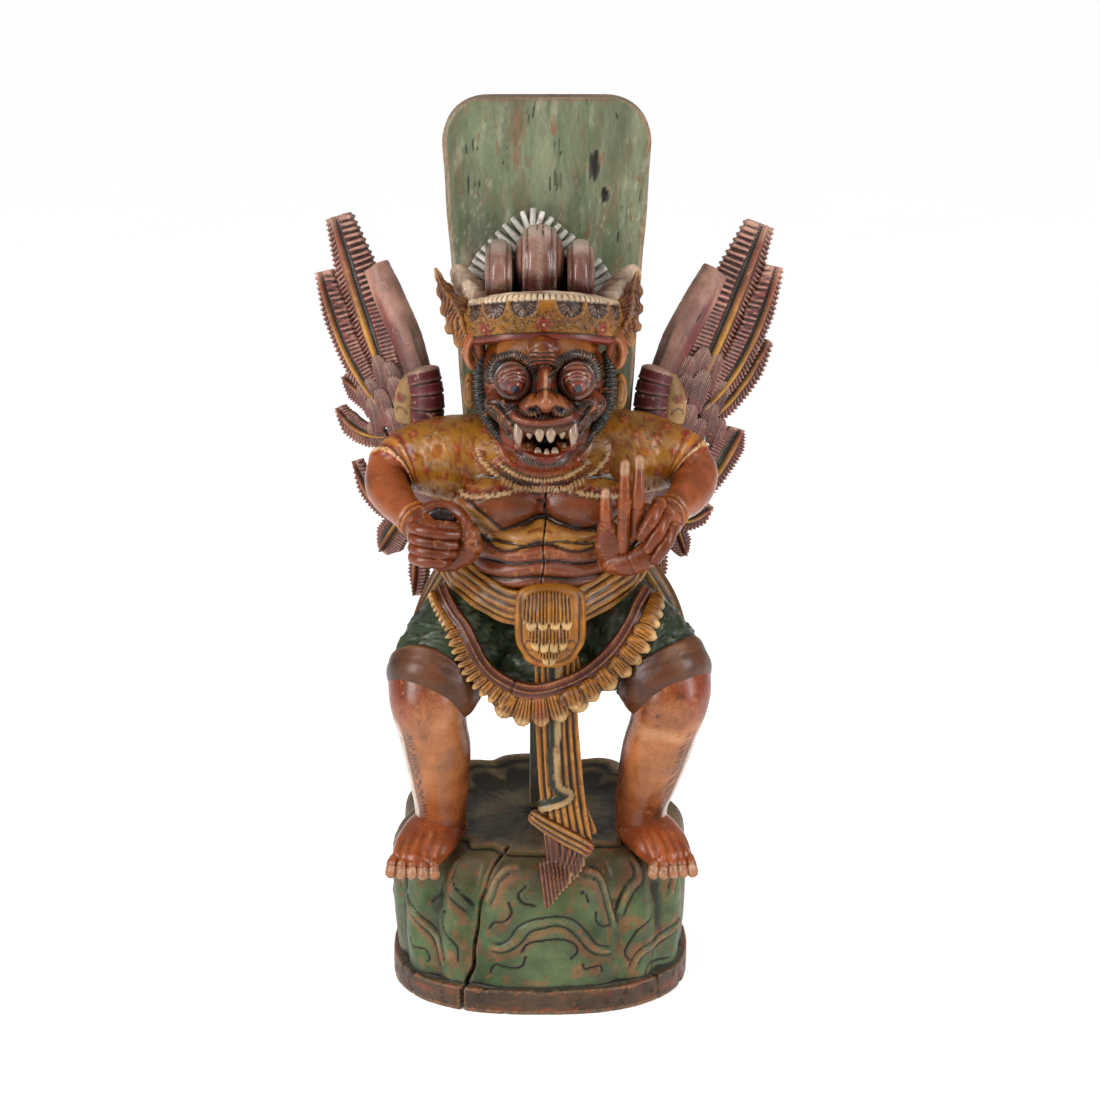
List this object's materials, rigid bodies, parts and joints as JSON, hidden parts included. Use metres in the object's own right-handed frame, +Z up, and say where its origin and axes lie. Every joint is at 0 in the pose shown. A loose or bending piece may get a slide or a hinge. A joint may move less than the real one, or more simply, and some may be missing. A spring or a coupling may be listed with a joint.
{
  "type": "painted wooden garuda statue",
  "caption": "Carved and painted wooden garuda standing on a rock base before a tall back board, with a fist bored for a staff and two wings tenoned into the shoulders.",
  "frame": {"origin": "middle of the flat underside of the rock base", "axes": "+Z up, the figure faces -Y, +X is to the right of someone who looks at its face"},
  "size_m": [0.4247, 0.2757, 0.78],
  "materials": {
    "figure_paint": "worn polychrome paint over carved wood, part glossy, part matt",
    "wing_paint": "worn matt mauve, red, green and yellow paint over carved wood"
  },
  "bodies": {
    "root": {"statue": "figure_paint", "wing_left": "wing_paint", "wing_right": "wing_paint"}
  },
  "joints": []
}
